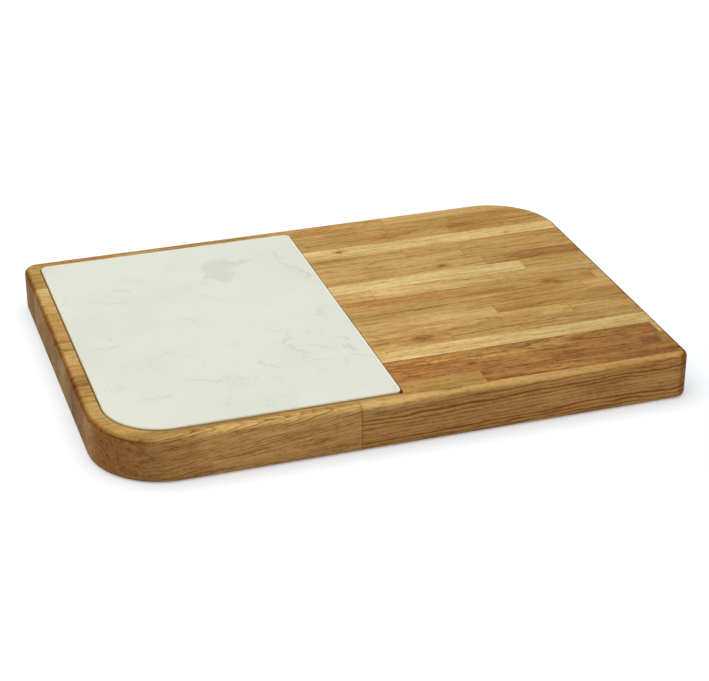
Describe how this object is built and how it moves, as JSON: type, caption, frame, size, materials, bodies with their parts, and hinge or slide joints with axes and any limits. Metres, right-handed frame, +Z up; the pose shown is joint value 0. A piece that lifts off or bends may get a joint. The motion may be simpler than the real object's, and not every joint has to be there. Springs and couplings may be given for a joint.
{
  "type": "cutting board with drawer trays",
  "caption": "Thick oak cutting board glued up from staves, with a loose marble slab let into one half of its top and steel drawer trays that slide out of one end.",
  "frame": {"origin": "middle of the underside, under the centre of the board's box", "axes": "+X along the length, towards the end with the drawers; +Y towards the back; +Z up"},
  "size_m": [0.5, 0.35, 0.0418],
  "materials": {
    "oak_golden": "oiled",
    "oak_pale": "oiled",
    "oak_brown": "oiled",
    "oak_front": "oiled",
    "marble": "honed",
    "silicone": "soft",
    "panel_ply": "sanded",
    "screw_steel": "zinc plated",
    "nylon": "matte",
    "magnet_nickel": "nickel plated",
    "tray_steel": "satin"
  },
  "bodies": {
    "board": {"stave_row_01": "oak_golden", "stave_row_02": "oak_golden", "stave_row_03": "oak_brown", "stave_row_04": "oak_brown", "stave_row_05": "oak_pale", "stave_row_06": "oak_golden", "stave_row_07": "oak_golden", "stave_row_08": "oak_golden", "stave_row_09": "oak_golden", "stave_row_10": "oak_golden", "stave_row_11": "oak_pale", "stave_row_12": "oak_pale", "stave_row_13": "oak_brown", "stave_row_14": "oak_golden", "stave_row_15": "oak_golden", "stave_row_16": "oak_pale", "stave_row_17": "oak_golden", "stave_row_18": "oak_golden", "stave_row_19": "oak_golden", "base_panel": "panel_ply", "base_screws": "screw_steel", "slab_pads": "silicone", "drawer_glides": "nylon", "catch_magnets": "magnet_nickel"},
    "near_drawer": {"near_tray": "tray_steel", "near_front": "oak_front", "near_front_screws": "screw_steel"},
    "far_drawer": {"far_tray": "tray_steel", "far_front": "oak_front", "far_front_screws": "screw_steel"},
    "slab": {"stone_slab": "marble"}
  },
  "joints": [
    {"name": "near_drawer_slide", "type": "slide", "parent": "board", "child": "near_drawer", "axis": [1, 0, 0], "range_m": [0, 0.15]},
    {"name": "far_drawer_slide", "type": "slide", "parent": "board", "child": "far_drawer", "axis": [1, 0, 0], "range_m": [0, 0.15]},
    {"name": "slab_lift", "type": "slide", "parent": "board", "child": "slab", "axis": [0, 0, 1], "range_m": [0, 0.06]}
  ]
}
